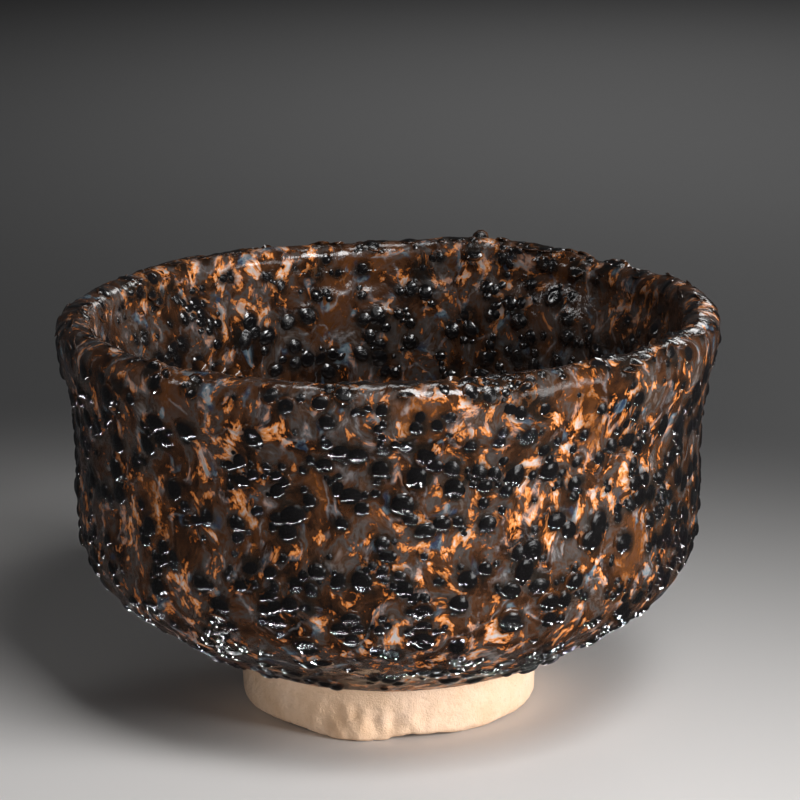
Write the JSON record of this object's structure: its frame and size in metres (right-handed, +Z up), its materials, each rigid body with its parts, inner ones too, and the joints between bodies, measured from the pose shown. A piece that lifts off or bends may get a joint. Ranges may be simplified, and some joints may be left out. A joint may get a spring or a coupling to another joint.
{
  "type": "tea bowl",
  "caption": "Hand-thrown stoneware bowl for whisked green tea: steep round wall, rolled lip, narrow cut foot ring, thick runny brown glaze with black glass beads.",
  "frame": {"origin": "centre of the foot ring's resting face, on the bowl's axis", "axes": "+Z up along the bowl's axis; -Y is the front of the bowl; +X is to the right seen from the front"},
  "size_m": [0.122, 0.122, 0.0767],
  "materials": {
    "bare_clay": "matte",
    "brown_glaze": "gloss",
    "amber_glaze": "gloss",
    "black_beads": "polished"
  },
  "bodies": {
    "root": {"clay_body": "bare_clay", "foot_ring": "bare_clay", "outside_glaze": "brown_glaze", "inside_glaze": "brown_glaze", "lip_glaze": "amber_glaze", "outside_beads": "black_beads", "inside_beads": "black_beads", "lip_beads": "black_beads"}
  },
  "joints": []
}
